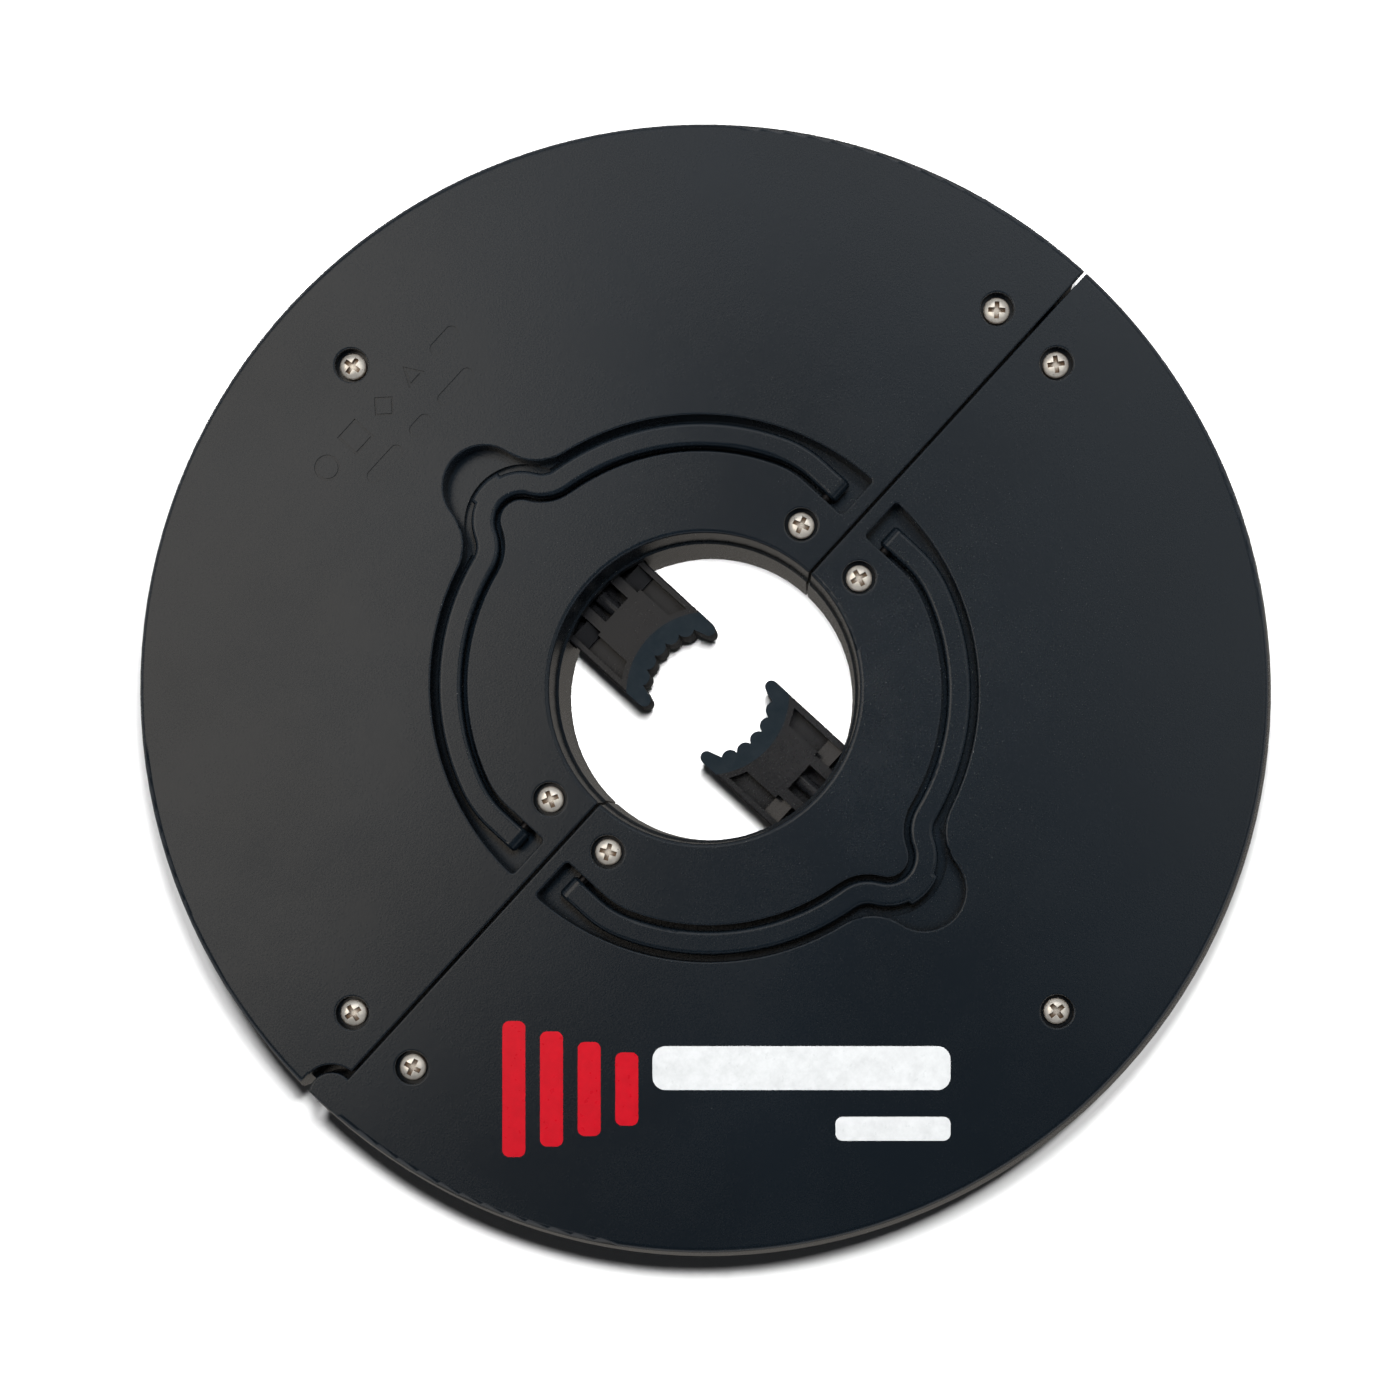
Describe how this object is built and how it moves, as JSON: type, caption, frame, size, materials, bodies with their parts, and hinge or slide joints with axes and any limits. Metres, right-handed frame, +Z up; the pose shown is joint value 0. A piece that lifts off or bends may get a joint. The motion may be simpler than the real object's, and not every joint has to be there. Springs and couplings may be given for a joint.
{
  "type": "clamp-on pole ring light",
  "caption": "Flat battery ring light in two hinged halves that closes round a pole, with sprung rubber jaws in its central hole and two fold-out hangers on top.",
  "frame": {"origin": "centre of the underside, on the axis of the central hole", "axes": "+Z up through the hanger side, +X along the split from the hinge to the opening end, +Y towards half a"},
  "size_m": [0.22, 0.22, 0.027],
  "materials": {
    "shell": "fine satin moulded plastic",
    "hanger": "fine satin moulded plastic",
    "jaw": "satin moulded plastic",
    "pad_rubber": "matte soft rubber",
    "screw_steel": "nickel plated",
    "pin_steel": "blackened",
    "spring_steel": "drawn wire",
    "magnet": "nickel plated",
    "lens": "milky diffusing",
    "board": "white solder mask",
    "led": "phosphor",
    "cell_jacket": "printed sleeve",
    "contact_metal": "nickel plated",
    "wire": "sleeved copper",
    "button": "satin",
    "switch": "moulded"
  },
  "bodies": {
    "half_a": {"top_cover_a": "shell", "bottom_housing_a": "shell", "cover_screws_a": "screw_steel", "jaw_spring_a": "spring_steel", "jaw_retainer_a": "jaw", "retainer_screws_a": "screw_steel", "latch_magnet_a": "magnet", "led_lens_a": "lens", "led_board_a": "board", "led_chips_a": "led", "batteries_a": "cell_jacket", "battery_contacts_a": "contact_metal", "battery_spring_a": "spring_steel", "wire_harness_a": "wire"},
    "hanger_a": {"hanger_a": "hanger", "hanger_pins_a": "pin_steel"},
    "jaw_a": {"jaw_slide_a": "jaw", "jaw_pad_a": "pad_rubber"},
    "battery_door_a": {"battery_door_a": "shell"},
    "half_b": {"top_cover_b": "shell", "bottom_housing_b": "shell", "cover_screws_b": "screw_steel", "jaw_spring_b": "spring_steel", "jaw_retainer_b": "jaw", "retainer_screws_b": "screw_steel", "latch_magnet_b": "magnet", "led_lens_b": "lens", "led_board_b": "board", "led_chips_b": "led", "batteries_b": "cell_jacket", "battery_contacts_b": "contact_metal", "battery_spring_b": "spring_steel", "wire_harness_b": "wire", "hinge_pin": "pin_steel", "button_spring": "spring_steel", "switch_board": "board", "tact_switch": "switch", "switch_leads": "wire"},
    "hanger_b": {"hanger_b": "hanger", "hanger_pins_b": "pin_steel"},
    "jaw_b": {"jaw_slide_b": "jaw", "jaw_pad_b": "pad_rubber"},
    "battery_door_b": {"battery_door_b": "shell"},
    "power_button": {"power_button": "button"}
  },
  "joints": [
    {"name": "halves_hinge", "type": "hinge", "parent": "half_a", "child": "half_b", "pos_m": [-0.1056, 0, 0.0135], "axis": [0, 0, -1], "range_deg": [0, 70]},
    {"name": "hanger_a_swing", "type": "hinge", "parent": "half_a", "child": "hanger_a", "pos_m": [0, 0.0076, 0.0248], "axis": [1, 0, 0], "range_deg": [0, 90]},
    {"name": "jaw_a_slide", "type": "slide", "parent": "half_a", "child": "jaw_a", "axis": [0, 1, 0], "range_m": [0, 0.012], "stiffness_N_per_m": 400, "springref_m": -0.006, "deforming": ["jaw_spring_a"]},
    {"name": "battery_door_a_lift", "type": "slide", "parent": "half_a", "child": "battery_door_a", "axis": [0, 0, -1], "range_m": [0, 0.02]},
    {"name": "hanger_b_swing", "type": "hinge", "parent": "half_b", "child": "hanger_b", "pos_m": [0, -0.0076, 0.0248], "axis": [-1, 0, 0], "range_deg": [0, 90]},
    {"name": "jaw_b_slide", "type": "slide", "parent": "half_b", "child": "jaw_b", "axis": [0, -1, 0], "range_m": [0, 0.012], "stiffness_N_per_m": 400, "springref_m": -0.006, "deforming": ["jaw_spring_b"]},
    {"name": "battery_door_b_lift", "type": "slide", "parent": "half_b", "child": "battery_door_b", "axis": [0, 0, -1], "range_m": [0, 0.02]},
    {"name": "power_button_press", "type": "slide", "parent": "half_b", "child": "power_button", "axis": [0, 0, 1], "range_m": [0, 0.0008], "stiffness_N_per_m": 600, "springref_m": -0.002, "deforming": ["button_spring"]}
  ]
}
